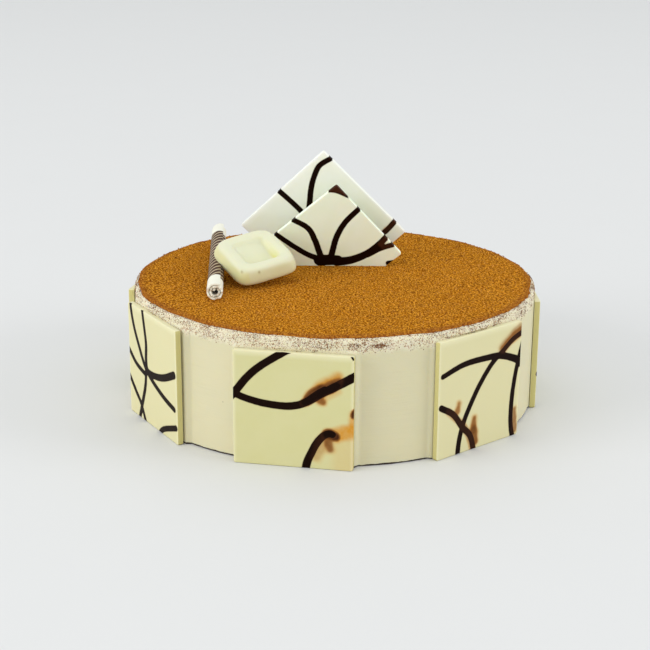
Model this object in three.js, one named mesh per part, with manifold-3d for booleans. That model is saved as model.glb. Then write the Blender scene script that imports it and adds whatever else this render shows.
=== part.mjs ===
// A tiramisu cake, 200 mm across: a thin dark sponge base, a body of smoothed cream and
// a dusted layer of cocoa on top. Seven squares of marbled white chocolate stand round
// its side, pressed a little into the cream. Two more squares stand on their corners in
// slots cut through the cocoa, and a small square cup of white chocolate leans on them
// and on a striped roll of chocolate.
// Millimetres, +Z up. The origin is the middle of the cake's flat bottom, and the cake's
// front faces -Y.

import * as THREE from "three";
import { mergeVertices } from "three/addons/utils/BufferGeometryUtils.js";
import Module from "manifold-3d";

// Driving dimensions
const CAKE_RADIUS = 100;
const CAKE_HEIGHT = 61.8;          // to the top of the cocoa
const BASE_HEIGHT = 1.2;           // dark sponge that shows under the cream
const COCOA_DEPTH = 1.0;
const COCOA_RADIUS = 98.4;
const RIM_ROUNDING = 1.8;          // radius of the cream's top edge
const ROUND_STEPS = 120;           // sides of the cake
const SIDE_WAVE = 0.35;            // how far the smoothed side wanders in and out
const TOP_WAVE = 0.25;             // how far the top wanders up and down
const GAP = 0.3;                   // between pieces that touch

const PANEL_THICKNESS = 2.9;
// Round the cake from the left of the front: heading in degrees from the front, how far
// the outer face stands from the cake's axis, width, height and a small twist in degrees.
const PANELS = [
  { heading: -58.6, reach: 102.0, width: 54.4, height: 56.4, twist: -0.8 },
  { heading: -10.6, reach: 102.5, width: 55.3, height: 54.6, twist: 0.2 },
  { heading: 41.6, reach: 101.4, width: 54.0, height: 57.2, twist: -1.2 },
  { heading: 92.2, reach: 100.4, width: 54.6, height: 56.2, twist: -0.7 },
  { heading: 146.8, reach: 101.6, width: 54.8, height: 55.6, twist: 0.9 },
  { heading: 201.4, reach: 102.2, width: 55.2, height: 56.6, twist: -0.4 },
  { heading: 256.0, reach: 100.9, width: 54.4, height: 54.6, twist: 0.6 },
];

const PLAQUE_THICKNESS = 2.6;
// Squares standing on a corner: side, where the middle is, how far the square is turned
// in its own plane, how far its top leans to the front, and its heading.
const FRONT_PLAQUE = { side: 51.2, middle: [-1.6, 17.6, 71.0], turn: 41.5, lean: 12, heading: 0 };
const BACK_PLAQUE = { side: 60.8, middle: [-6.1, 30, 79.0], turn: 44.1, lean: 10, heading: -5 };
const CORNER_RADIUS = 0.9;         // of every chocolate square, in its outline
const EDGE_BEVEL = 0.35;           // of every chocolate square, along its edges

const CUP = {
  base: 34, rim: 32.6, height: 8.3, mouth: 19, floor: 14.6, depth: 4.3,
  rounding: 1.4, squareness: 4.2,
  middle: [-39.8, -7.6, 70.1], heading: 33.8, tilt: 18.1, roll: 7.6,
};

const ROLL = {
  diameter: 9.2, sheet: 1.15, pitch: 1.32, turns: 1.9,
  near: [-56.6, -49], far: [-62.6, 68.8],
};

// Finishes
const FINISH = {
  sponge: { color: 0x2b170c, roughness: 0.95 },
  cream: { color: 0xe3d9bd, roughness: 0.65 },
  cocoa: { color: 0xa8682a, roughness: 1.0 },
  whiteChocolate: { color: 0xe9e4bb, roughness: 0.4 },
  paleChocolate: { color: 0xe3e6d2, roughness: 0.4 },
  cup: { color: 0xf0efcf, roughness: 0.4 },
  roll: { color: 0x4d2c1c, roughness: 0.5 },
};

const wasm = await Module();
wasm.setup();

const radians = THREE.MathUtils.degToRad;

// A closed mesh as a solid that can be joined and cut
function toSolid(geometry) {
  const bare = geometry.clone();
  for (const name of ["normal", "uv"]) {
    bare.deleteAttribute(name);
  }
  const merged = mergeVertices(bare, 1e-4);
  return new wasm.Manifold(new wasm.Mesh({
    numProp: 3,
    vertProperties: new Float32Array(merged.attributes.position.array),
    triVerts: new Uint32Array(merged.index.array),
  }));
}

function toGeometry(solid) {
  const mesh = solid.getMesh();
  const geometry = new THREE.BufferGeometry();
  geometry.setAttribute("position", new THREE.BufferAttribute(mesh.vertProperties, 3));
  geometry.setIndex(new THREE.BufferAttribute(mesh.triVerts, 1));
  geometry.computeVertexNormals();
  return geometry;
}

function cut(geometry, cutters) {
  const solid = cutters.reduce((rest, cutter) => rest.subtract(toSolid(cutter)), toSolid(geometry));
  return toGeometry(solid);
}

function piece(name, geometry, finish) {
  const material = new THREE.MeshStandardMaterial({ ...finish, metalness: 0 });
  const mesh = new THREE.Mesh(geometry, material);
  mesh.name = name;
  return mesh;
}

// A profile of [radius, height] pairs spun round the Z axis, from the axis to the axis
function spun(profile, steps) {
  const points = profile.map(([radius, height]) => new THREE.Vector2(radius, height));
  const geometry = new THREE.LatheGeometry(points, steps);
  return geometry.rotateX(Math.PI / 2);
}

// Moves every vertex of a spun shape by a rule of its angle, radius and height
function reshaped(geometry, rule) {
  const position = geometry.attributes.position;
  for (let i = 0; i < position.count; i += 1) {
    const x = position.getX(i);
    const y = position.getY(i);
    const moved = rule(Math.atan2(y, x), Math.hypot(x, y), position.getZ(i));
    position.setXYZ(i, moved.radius * Math.cos(moved.angle), moved.radius * Math.sin(moved.angle),
      moved.height);
  }
  return geometry;
}

// Points [radius, height] on a quarter circle from the side to the top of an edge
function quarterRound(radius, top, rounding, steps) {
  return Array.from({ length: steps + 1 }, (_, i) => {
    const angle = (i / steps) * (Math.PI / 2);
    return [
      radius - rounding + rounding * Math.cos(angle),
      top - rounding + rounding * Math.sin(angle),
    ];
  });
}

// The slow wander that a hand-held spatula leaves in the side and the top: a few waves
// round the cake, the widest first
function sideWander(angle, height) {
  return SIDE_WAVE * (0.5 * Math.sin(3 * angle + 0.6) + 0.3 * Math.sin(7 * angle + height / 17)
    + 0.2 * Math.sin(13 * angle - height / 11));
}

function topWander(angle, radius) {
  const reach = radius / CAKE_RADIUS;
  return TOP_WAVE * reach * (0.6 * Math.sin(2 * angle + 1.1) + 0.4 * Math.sin(5 * angle - 4 * reach));
}

const creamTop = CAKE_HEIGHT - COCOA_DEPTH;

function spongeBase() {
  const profile = [[0, 0], [CAKE_RADIUS, 0], [CAKE_RADIUS, BASE_HEIGHT], [0, BASE_HEIGHT]];
  const disc = spun(profile, ROUND_STEPS);
  return reshaped(disc, (angle, distance, height) => ({
    angle, height, radius: distance > 1 ? distance + sideWander(angle, 0) : distance,
  }));
}

function creamBody() {
  const sideRings = 10;
  const side = Array.from({ length: sideRings }, (_, i) => (
    [CAKE_RADIUS, BASE_HEIGHT + (i / sideRings) * (creamTop - RIM_ROUNDING - BASE_HEIGHT)]
  ));
  const rim = quarterRound(CAKE_RADIUS, creamTop, RIM_ROUNDING, 4);
  const body = spun([[0, BASE_HEIGHT], ...side, ...rim, [0, creamTop]], ROUND_STEPS);
  return reshaped(body, (angle, distance, height) => ({
    angle, height, radius: distance > 1 ? distance + sideWander(angle, height) : distance,
  }));
}

// The dusted cocoa lies on the flat top of the cream, a little uneven in its height and
// its outline
function cocoaLayer() {
  const rings = 6;
  const edge = 1.4;
  const over = Array.from({ length: rings + 1 }, (_, i) => (
    [(COCOA_RADIUS - edge) * (1 - i / rings), CAKE_HEIGHT]
  ));
  const skirt = [[0, creamTop], [COCOA_RADIUS, creamTop], [COCOA_RADIUS, creamTop + COCOA_DEPTH / 2]];
  const layer = spun([...skirt, ...over], ROUND_STEPS);
  return reshaped(layer, (angle, distance, height) => {
    const ragged = 0.35 * Math.sin(11 * angle) + 0.25 * Math.sin(23 * angle + 2);
    return {
      angle,
      radius: distance + ragged * (distance / COCOA_RADIUS) ** 4,
      height: height > creamTop ? height + topWander(angle, distance) : height,
    };
  });
}

// A chocolate square in the XZ plane, its middle at the origin, its front face at -Y
function chocolateSquare(width, height, thickness, grow = 0) {
  const w = width / 2 + grow - EDGE_BEVEL;
  const h = height / 2 + grow - EDGE_BEVEL;
  const r = CORNER_RADIUS;
  const outline = new THREE.Shape();
  outline.moveTo(w, r - h);
  outline.lineTo(w, h - r);
  outline.absarc(w - r, h - r, r, 0, Math.PI / 2);
  outline.absarc(r - w, h - r, r, Math.PI / 2, Math.PI);
  outline.absarc(r - w, r - h, r, Math.PI, 1.5 * Math.PI);
  outline.absarc(w - r, r - h, r, 1.5 * Math.PI, 2 * Math.PI);
  const depth = thickness + 2 * grow - 2 * EDGE_BEVEL;
  const slab = new THREE.ExtrudeGeometry(outline, {
    depth, curveSegments: 4, bevelThickness: EDGE_BEVEL, bevelSize: EDGE_BEVEL, bevelSegments: 1,
  });
  return slab.translate(0, 0, -depth / 2).rotateX(Math.PI / 2);
}

// Where a square of the side stands: its inner face towards the cake's axis
function panelPlace({ heading, reach, height, twist }) {
  const angle = radians(heading);
  const distance = reach - PANEL_THICKNESS / 2;
  return new THREE.Matrix4()
    .makeRotationZ(radians(heading + twist))
    .setPosition(distance * Math.sin(angle), -distance * Math.cos(angle), height / 2);
}

// The flat seat that a square presses into the cream, open to the outside
function panelSeat(panel) {
  const deep = 8;
  const seat = new THREE.BoxGeometry(panel.width + 2 * GAP, deep, panel.height + 2 * GAP);
  seat.translate(0, PANEL_THICKNESS / 2 + GAP - deep / 2, 0);
  return seat.applyMatrix4(panelPlace(panel));
}

function plaqueSquare({ side, turn }, grow = 0) {
  return chocolateSquare(side, side, PLAQUE_THICKNESS, grow).rotateY(radians(-turn));
}

function plaquePlace({ middle, lean, heading }) {
  const turned = new THREE.Matrix4().makeRotationZ(radians(heading));
  const leaning = new THREE.Matrix4().makeRotationX(radians(lean));
  return turned.multiply(leaning).setPosition(...middle);
}

function plaqueSlot(plaque) {
  return plaqueSquare(plaque, GAP).applyMatrix4(plaquePlace(plaque));
}

// The cup: a spun profile with a sunken middle, squared off to a superellipse
function cupShape() {
  const { base, rim, height, mouth, floor, depth, rounding, squareness } = CUP;
  const outer = quarterRound(rim / 2, height, rounding, 3);
  const lip = 0.8;
  const well = height - depth;
  const profile = [
    [0, 0], [base / 4, 0], [base / 2 - rounding, 0], [base / 2 - rounding / 3, rounding / 3],
    [base / 2, rounding], ...outer,
    [mouth / 2 + lip, height], [mouth / 2, height - lip],
    [floor / 2 + lip, well + lip], [floor / 2 - lip, well], [floor / 4, well], [0, well],
  ];
  const shell = spun(profile, 44);
  return reshaped(shell, (angle, distance, z) => {
    const cosine = Math.abs(Math.cos(angle)) ** squareness;
    const sine = Math.abs(Math.sin(angle)) ** squareness;
    return { angle, height: z, radius: distance / (cosine + sine) ** (1 / squareness) };
  });
}

function cupPlace() {
  const { middle, heading, tilt, roll } = CUP;
  const turned = new THREE.Matrix4().makeRotationZ(radians(heading));
  const tilted = new THREE.Matrix4().makeRotationX(radians(tilt));
  const rolled = new THREE.Matrix4().makeRotationY(radians(-roll));
  return turned.multiply(tilted).multiply(rolled).setPosition(...middle);
}

// The roll: a band of chocolate wound in a spiral, drawn out along its length
function rollShape(length) {
  const { diameter, sheet, pitch, turns } = ROLL;
  const stepsPerTurn = 22;
  const steps = Math.round(turns * stepsPerTurn);
  const spiral = (inset) => Array.from({ length: steps + 1 }, (_, i) => {
    const angle = (i / stepsPerTurn) * 2 * Math.PI;
    const radius = diameter / 2 - inset - pitch * (i / stepsPerTurn);
    return new THREE.Vector2(radius * Math.cos(angle), radius * Math.sin(angle));
  });
  const outline = new THREE.Shape([...spiral(0), ...spiral(sheet).reverse()]);
  return new THREE.ExtrudeGeometry(outline, { depth: length, bevelEnabled: false });
}

function rollMesh() {
  const underside = (ROLL.diameter - ROLL.pitch / 2) / 2;
  const lift = CAKE_HEIGHT + TOP_WAVE + GAP + underside;
  const near = new THREE.Vector3(...ROLL.near, lift);
  const far = new THREE.Vector3(...ROLL.far, lift);
  const mesh = piece("chocolate_roll", rollShape(near.distanceTo(far)), FINISH.roll);
  mesh.position.copy(near);
  mesh.quaternion.setFromUnitVectors(new THREE.Vector3(0, 0, 1), far.clone().sub(near).normalize());
  return mesh;
}

function placed(mesh, matrix) {
  matrix.decompose(mesh.position, mesh.quaternion, mesh.scale);
  return mesh;
}

const slots = [plaqueSlot(FRONT_PLAQUE), plaqueSlot(BACK_PLAQUE)];
const seats = PANELS.map(panelSeat);

const group = new THREE.Group();
group.add(piece("sponge_base", cut(spongeBase(), seats), FINISH.sponge));
group.add(piece("cream_body", cut(creamBody(), [...slots, ...seats]), FINISH.cream));
group.add(piece("cocoa_top", cut(cocoaLayer(), slots), FINISH.cocoa));
PANELS.forEach((panel, i) => {
  const square = chocolateSquare(panel.width, panel.height, PANEL_THICKNESS);
  const mesh = piece(`side_panel_${i + 1}`, square, FINISH.whiteChocolate);
  group.add(placed(mesh, panelPlace(panel)));
});
group.add(placed(piece("back_plaque", plaqueSquare(BACK_PLAQUE), FINISH.paleChocolate),
  plaquePlace(BACK_PLAQUE)));
group.add(placed(piece("front_plaque", plaqueSquare(FRONT_PLAQUE), FINISH.whiteChocolate),
  plaquePlace(FRONT_PLAQUE)));
group.add(placed(piece("chocolate_cup", cupShape(), FINISH.cup), cupPlace()));
group.add(rollMesh());

export default group;
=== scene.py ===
"""A tiramisu cake: smoothed cream on a dark sponge base, dusted with cocoa, with marbled
squares of white chocolate round its side, and two upright squares, a small cup and a
striped roll of chocolate on top. Lengths are millimetres, and MM turns them into metres."""

import math
import random

import bpy
import numpy as np
from bpy.props import FloatProperty, FloatVectorProperty, IntProperty, PointerProperty
from mathutils import Matrix, Vector, noise


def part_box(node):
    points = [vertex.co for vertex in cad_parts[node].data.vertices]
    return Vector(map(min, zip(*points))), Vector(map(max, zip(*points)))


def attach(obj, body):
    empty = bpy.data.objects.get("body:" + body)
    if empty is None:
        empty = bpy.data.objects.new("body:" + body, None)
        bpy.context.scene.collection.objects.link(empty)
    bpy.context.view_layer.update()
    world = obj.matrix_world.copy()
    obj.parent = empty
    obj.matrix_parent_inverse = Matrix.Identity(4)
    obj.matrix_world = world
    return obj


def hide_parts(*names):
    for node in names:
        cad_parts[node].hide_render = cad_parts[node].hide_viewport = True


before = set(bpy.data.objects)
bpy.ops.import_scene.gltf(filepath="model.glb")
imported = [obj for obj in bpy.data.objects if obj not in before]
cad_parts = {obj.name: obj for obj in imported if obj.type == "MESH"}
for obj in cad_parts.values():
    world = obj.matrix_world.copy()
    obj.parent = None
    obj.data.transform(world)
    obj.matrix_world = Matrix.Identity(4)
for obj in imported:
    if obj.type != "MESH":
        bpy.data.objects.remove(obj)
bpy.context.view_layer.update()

bl_info = {
    "name": "Tiramisu cake",
    "version": (1, 0, 0),
    "blender": (4, 5, 0),
    "location": "3D view > Sidebar > Cake",
    "description": "Makes a dusted cream cake with squares of marbled white chocolate",
    "category": "Add Mesh",
}

MM = 0.001

# The cake's round body, the waves that its maker left in it, and the gap behind each square
CAKE_RADIUS = 100.0
BASE_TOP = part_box("sponge_base")[1].z / MM
CREAM_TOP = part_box("cream_body")[1].z / MM
COCOA_TOP = 61.8
COCOA_RADIUS = 98.4
RIM_ROUNDING = 1.8
SIDE_WAVE = 0.35
TOP_WAVE = 0.25
SQUARE_GAP = 0.04
SIDE_SQUARES = [f"side_panel_{i}" for i in range(1, 8)]
UPRIGHT_SQUARES = ["front_plaque", "back_plaque"]

# The printed curves, as ([points], width at the start, width at the end), in a square's own
# millimetres: across to the right and up from its middle, seen from outside. The upright
# squares stand on a corner, so their "across" runs up to the right, and their "up" to the left.
INK = {
    "side_panel_1": [
        ([(-24, 32), (-23.5, 26), (-20.5, 17.5), (-15.5, 9.5), (-8.5, 0.5), (0, -4.5), (12, -8.7),
          (24, -11.3)], 2.7, 2.8),
        ([(-10.5, 30), (-8, 19.5), (-6.5, 12), (-7, 3.5), (-5, -1), (4, -1), (14, 1.5),
          (24.5, 6)], 2.5, 3.8),
        ([(-7, 0), (-8.5, -9.5), (-12.5, -19.5), (-17, -30)], 2.7, 2.9),
        ([(-30, 6), (-27, 4), (-19, -1), (-8.5, -3.5)], 2.8, 2.5),
        ([(-30, -7), (-27, -10), (-20, -16), (-14, -21), (-8, -31)], 2.7, 2.7),
        ([(4.5, -31), (11, -25.5), (25.5, -20)], 2.7, 2.9),
    ],
    "side_panel_2": [
        ([(-1, 29), (-4, 27.5), (-14.5, 20.5), (-21, 14.5), (-26, 8), (-29, 4.5)], 3.4, 3.7),
        ([(-30, 7.5), (-27, 6.5), (-21.5, 4.5), (-13.5, 2.7), (-4, 2), (2.5, 3), (8, 5.7),
          (12.5, 8.8), (17.5, 11.7), (23, 15), (29, 18.7)], 3.2, 4.1),
        ([(5.5, -30), (6.7, -24), (8.7, -19.3), (11, -14.7), (14, -11), (16.7, -9.7), (18, -10)],
         3.8, 3.3),
        ([(26.2, 28), (27.2, 26)], 1.2, 0.8),
        ([(6.5, 5.9), (10, 8.6), (14.5, 11.4)], 1.8, 2.6),
    ],
    "side_panel_3": [
        ([(-24.5, 12), (-11, 15), (4, 15), (13.5, 14), (23, 10.5), (28, 7)], 2.6, 3.8),
        ([(28, 23), (21, 20.5), (15, 16.5), (7.5, 11.5), (-0.5, 2.5), (-7.5, -8.5), (-11, -16),
          (-12.8, -23), (-13.5, -31)], 2.8, 3.1),
        ([(28, 18.5), (25.5, 10), (23.5, 1.5), (22, -9.5), (22, -21.5), (24, -31)], 2.6, 3.1),
        ([(-25, -3), (-17, -8), (-11, -15.5), (-5.3, -21.5), (-2.3, -31)], 3.0, 3.3),
    ],
    "front_plaque": [
        ([(21.5, 28), (24.5, 23.5), (28.5, 12)], 5.6, 2.4),
        ([(-4, 27), (-1, 17.5), (-2.7, 10), (-5.5, 3.5), (-7.5, -1)], 2.8, 3.3),
        ([(27, 8.5), (15.7, 7.3), (7, 4), (-0.3, -1), (-4, -4)], 2.8, 3.3),
        ([(-16, 27), (-13.5, 15), (-11, 6), (-7.5, -1)], 2.6, 3.1),
        ([(-8.5, -0.5), (-4.5, -3.8), (-1.7, -6.5)], 6.2, 5.6),
        ([(-2.5, -7), (3.8, -11), (11.6, -13.5), (19.5, -13.7), (28, -12.5)], 4.8, 3.1),
        ([(12, -14.5), (19.5, -16), (27, -19)], 2.7, 2.8),
        ([(-8.3, -2.5), (-13, -4), (-28, -3)], 3.1, 2.8),
        ([(17, -25), (22, -28)], 2.7, 2.5),
    ],
    "back_plaque": [
        ([(32, 25), (30, 25), (23, 26), (15.6, 22.8), (10, 19), (4.5, 14.3), (-4, 8)], 2.7, 3.0),
        ([(-1.8, 32), (-1.4, 15), (-4, 2), (-12, -10)], 2.8, 3.0),
        ([(32, -22), (22, -23), (8, -21), (-6, -13), (-14, -2)], 2.8, 2.8),
    ],
}

# Where the print has bled: soft strokes as ([points], width at the start, width at the end,
# how far it fades, how brown its core is, how orange it is)
STAINS = {
    "side_panel_2": [
        ([(5, 4.4), (9, 6.8), (14, 10), (20, 13.4)], 2.6, 2.6, 1.7, 1.0, 0.6),
        ([(6.5, 6.5), (9.5, 9.2), (13.5, 11.8)], 1.4, 1.8, 2.7, 0.8, 0.95),
        ([(12, 12.3), (16, 15), (20.5, 17.5)], 1.0, 0.3, 3.4, 0.1, 0.85),
        ([(13, 11.6), (17, 13.9), (21, 16)], 1.4, 0.6, 2.6, 0.6, 0.95),
        ([(12, 6.2), (13.7, 5)], 1.6, 0.6, 2.6, 0.45, 0.85),
        ([(15.5, 7.8), (21, 10.5)], 0.8, 0.3, 2.4, 0.0, 0.4),
        ([(16, -10), (19.3, -10.8)], 3.0, 2.2, 2.4, 1.0, 0.85),
        ([(16.8, -11), (16.4, -13.5), (17.2, -17.5)], 2.4, 0.1, 3.4, 0.45, 0.6),
        ([(13.8, -14), (12.5, -18), (11, -21.5)], 3.0, 0.8, 3.8, 0.12, 0.40),
        ([(20.5, -10), (25, -8.5), (30, -7.5)], 3.0, 4.6, 3.2, 0.0, 0.82),
        ([(28, 1), (27.5, -3), (27.5, -7)], 1.0, 2.2, 2.6, 0.0, 0.75),
        ([(28.3, 1.6), (27.8, -0.5)], 2.1, 2.1, 1.3, 0.95, 0.9),
        ([(24, -14), (25, -24)], 5.0, 7.0, 7.0, 0.0, 0.20),
    ],
    "side_panel_3": [
        ([(15, 17), (20, 20.7), (27, 23.8)], 2.6, 3.0, 2.0, 0.3, 0.75),
        ([(14, 18), (19, 21.5), (26, 25)], 2.0, 3.0, 3.6, 0.2, 0.26),
        ([(-14.5, -7), (-13.5, -3.5)], 1.4, 0.5, 2.6, 0.3, 0.7),
        ([(-4, -19), (-3, -13)], 2.2, 0.5, 2.8, 0.4, 0.8),
        ([(-3.2, -19), (-2, -25)], 2.4, 1.4, 2.6, 0.5, 0.8),
        ([(24.3, -15), (25, -26)], 0.6, 1.8, 2.2, 0.3, 0.5),
        ([(-20, -6), (-8, -18), (-3.5, -28)], 2.0, 3.0, 1.4, 0.2, 0.5),
    ],
    "front_plaque": [
        ([(22, 28), (25, 23), (29, 14)], 3.6, 1.0, 1.0, 0.0, 0.9),
        ([(21, -14), (28, -12.8)], 1.2, 1.2, 1.2, 0.0, 0.8),
        ([(21, -16.5), (27, -19)], 1.0, 1.0, 1.2, 0.0, 0.7),
    ],
    "back_plaque": [([(22, -22.9), (32, -22)], 1.0, 1.0, 1.2, 0.0, 0.8)],
}

# Side squares whose chocolate is painted lighter, a lit copy standing in for the stronger light that falls
# on them, and how much of the way
SQUARES_PAINTED_LIGHTER = {"side_panel_1": 1.0, "side_panel_3": 1.0, "side_panel_6": 0.5}


# ---------------------------------------------------------------- sizes and colours

def length(name, description, default):
    """A length that the user may change, in millimetres."""
    return FloatProperty(name=name, description=description, default=default, min=0.0)


def colour(name, description, default):
    return FloatVectorProperty(name=name, description=description, default=default,
                               subtype="COLOR", size=3, min=0.0, max=1.0)


class CakeSizes(bpy.types.PropertyGroup):
    """Sizes of the cake's finish, in millimetres"""
    streak: length("Spatula streaks", "Depth of the fine streaks in the smoothed cream", 0.05)
    rim_band: length("Rim band", "Height of the rough, dusted band under the cream's top edge", 6.5)
    rim_relief: length("Rim relief", "How far the rough rim wanders in and out", 0.16)
    cocoa_relief: length("Cocoa relief", "Height of the lumps in the dusted cocoa", 0.16)
    edge_bevel: length("Square bevel", "Rounding along the edges of the chocolate squares", 0.35)
    bow: length("Square bow", "How far the chocolate squares wander from flat", 0.08)
    stripe: length("Stripe", "Pitch of the stripes on the chocolate roll", 5.6)
    grains: IntProperty(name="Grains", description="Loose cocoa grains on top", default=9000, min=0)
    specks: IntProperty(name="Specks", description="Cocoa specks on the cream's rim", default=7600, min=0)


class CakeColours(bpy.types.PropertyGroup):
    """Colours of the cake's finishes"""
    sponge: colour("Sponge", "Soaked dark sponge", (0.020, 0.009, 0.004))
    cream: colour("Cream", "Smoothed cream", (0.666, 0.622, 0.420))
    rim: colour("Rim", "Whiter cream of the rough rim", (0.83, 0.775, 0.59))
    cocoa: colour("Cocoa", "Dusted cocoa", (0.42, 0.138, 0.005))
    cocoa_dark: colour("Damp cocoa", "Dark grains of cocoa", (0.155, 0.038, 0.003))
    cocoa_light: colour("Pale cocoa", "Pale grains of cocoa", (0.80, 0.36, 0.035))
    chocolate: colour("White chocolate", "Ivory of the side squares", (0.655, 0.622, 0.333))
    # painted light: the front square's ivory is far lighter than the side squares' chocolate and less red, a
    # lit copy standing in for the light it catches
    upright: colour("Front square", "Ivory of the front upright square", (0.89, 0.99, 0.80))
    pale: colour("Back square", "Paler ivory of the back upright square", (0.85, 0.885, 0.785))
    ink: colour("Ink", "Dark chocolate of the printed curves", (0.008, 0.002, 0.0006))
    # painted highlight: the whiter top edge and face border of the side squares
    edge_highlight: colour("Edge highlight", "Whiter border of the side squares", (0.79, 0.75, 0.49))
    fallen: colour("Fallen cocoa", "Dull cocoa specks on the cream's rim", (0.36, 0.16, 0.065))
    rust: colour("Bleed", "Orange edge of the bled print", (0.62, 0.27, 0.02))
    # painted shade: the cut sides of the squares are a darker yellow, standing in for shade and for light
    # seen through the chocolate
    cut: colour("Cut edge", "Yellow sides of the chocolate squares", (0.60, 0.54, 0.23))
    cup: colour("Cup", "White chocolate of the cup", (0.735, 0.74, 0.535))
    roll: colour("Roll", "Dark chocolate of the roll", (0.055, 0.020, 0.010))
    stripes: colour("Stripes", "Pale stripes of the roll", (0.62, 0.52, 0.34))
    roll_end: colour("Roll ends", "Plain ends of the roll", (0.87, 0.86, 0.74))
    floor: colour("Floor", "Plain pale floor", (0.742, 0.746, 0.748))


def tinted(tone, *factors):
    """A colour with its red, green and blue each times a factor, or all times the only one."""
    factors = factors if len(factors) == 3 else factors * 3
    return tuple(part * factor for part, factor in zip(tone, factors))


def sizes():
    return bpy.context.scene.cake_sizes


def colours():
    return bpy.context.scene.cake_colours


# ---------------------------------------------------------------- shader expressions

class Wire:
    """One output of a shader node. Maths on it adds the nodes that work it out."""

    def __init__(self, shader, socket):
        self.shader = shader
        self.socket = socket

    def maths(self, operation, *values):
        return self.shader.node("Math", {"operation": operation}, dict(enumerate(values)))

    def __add__(self, other):
        return self.maths("ADD", self, other)

    def __sub__(self, other):
        return self.maths("SUBTRACT", self, other)

    def __mul__(self, other):
        return self.maths("MULTIPLY", self, other)

    def __truediv__(self, other):
        return self.maths("DIVIDE", self, other)

    def __rsub__(self, other):
        return self.maths("SUBTRACT", other, self)

    __radd__ = __add__
    __rmul__ = __mul__

    def rise(self, low, high):
        """0 below low and 1 above high, with a smooth step between; high may be the lower."""
        settings = {"interpolation_type": "SMOOTHSTEP"}
        return self.shader.node("MapRange", settings, {0: self, 1: low, 2: high, 3: 0.0, 4: 1.0})


class Shader:
    """A material that is written as expressions on wires."""

    def __init__(self, name):
        self.material = bpy.data.materials.new(name)
        self.material.use_nodes = True
        self.tree = self.material.node_tree
        self.tree.nodes.clear()
        self.place = self.node("TexCoord", output="Object")

    def node(self, kind, settings=None, inputs=None, output=0):
        """Adds a node: its settings first, then the values or wires of its sockets."""
        node = self.tree.nodes.new("ShaderNode" + kind)
        for key, value in (settings or {}).items():
            setattr(node, key, value)
        for key, value in (inputs or {}).items():
            self.feed(node.inputs[key], value)
        return Wire(self, node.outputs[output]) if len(node.outputs) else None

    def feed(self, socket, value):
        if isinstance(value, Wire):
            self.tree.links.new(value.socket, socket)
        elif socket.type == "RGBA":
            socket.default_value = (*value, 1.0)
        else:
            socket.default_value = value

    def attribute(self, name):
        return self.node("Attribute", {"attribute_name": name}, output="Fac")

    def stretched(self, x, y, z):
        """Object coordinates in millimetres, each way divided by a length in millimetres."""
        scale = (1 / (x * MM), 1 / (y * MM), 1 / (z * MM))
        return self.node("VectorMath", {"operation": "MULTIPLY"}, {0: self.place, 1: scale})

    def cloud(self, size, detail=2.0, roughness=0.5, at=None):
        """Noise from 0 to 1 with lumps about size millimetres across."""
        where = at or self.stretched(size, size, size)
        inputs = {"Vector": where, "Scale": 1.0, "Detail": detail, "Roughness": roughness}
        return self.node("TexNoise", {"noise_dimensions": "3D"}, inputs, "Fac")

    def cells(self, size):
        """0 at scattered points about size millimetres apart, and more with the distance."""
        inputs = {"Vector": self.stretched(size, size, size), "Scale": 1.0}
        return self.node("TexVoronoi", {"feature": "F1"}, inputs, "Distance")

    def blend(self, amount, first, second):
        settings = {"data_type": "RGBA", "clamp_factor": True}
        return self.node("Mix", settings, {0: amount, 6: first, 7: second}, 2)

    def bump(self, height, depth):
        """A normal from a height of 0 to 1 that stands for depth millimetres."""
        return self.node("Bump", None, {"Strength": 1.0, "Distance": depth * MM, "Height": height})

    def height_above(self):
        """Height over the floor, in millimetres."""
        return self.node("SeparateXYZ", None, {0: self.place}, "Z") * (1 / MM)

    def from_axis(self):
        """Distance from the cake's axis, in millimetres."""
        flat = self.node("VectorMath", {"operation": "MULTIPLY"}, {0: self.place, 1: (1, 1, 0)})
        return self.node("VectorMath", {"operation": "LENGTH"}, {0: flat}, "Value") * (1 / MM)

    def finish(self, base, roughness, normal=None, **constants):
        """Ends the material in one shader; constants are the sockets that don't vary."""
        inputs = {"Base Color": base, "Roughness": roughness}
        inputs.update({name.replace("_", " "): value for name, value in constants.items()})
        if normal is not None:
            inputs["Normal"] = normal
        surface = self.node("BsdfPrincipled", None, inputs)
        self.node("OutputMaterial", None, {"Surface": surface})
        return self.material


def soft(weight, reach, spread=(1.0, 0.75, 0.40)):
    """Light that goes a little way into food: how much, and how many millimetres."""
    return {"Subsurface_Weight": weight, "Subsurface_Scale": reach * MM,
            "Subsurface_Radius": spread}


def sponge_finish():
    shader = Shader("dark damp sponge")
    crumb = shader.cloud(0.9, 4.0, 0.7)
    dark = colours().sponge
    base = shader.blend(crumb.rise(0.45, 0.75), dark, tinted(dark, 3.2))
    return shader.finish(base, 0.9 - 0.25 * crumb, shader.bump(crumb, 0.5))


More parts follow.
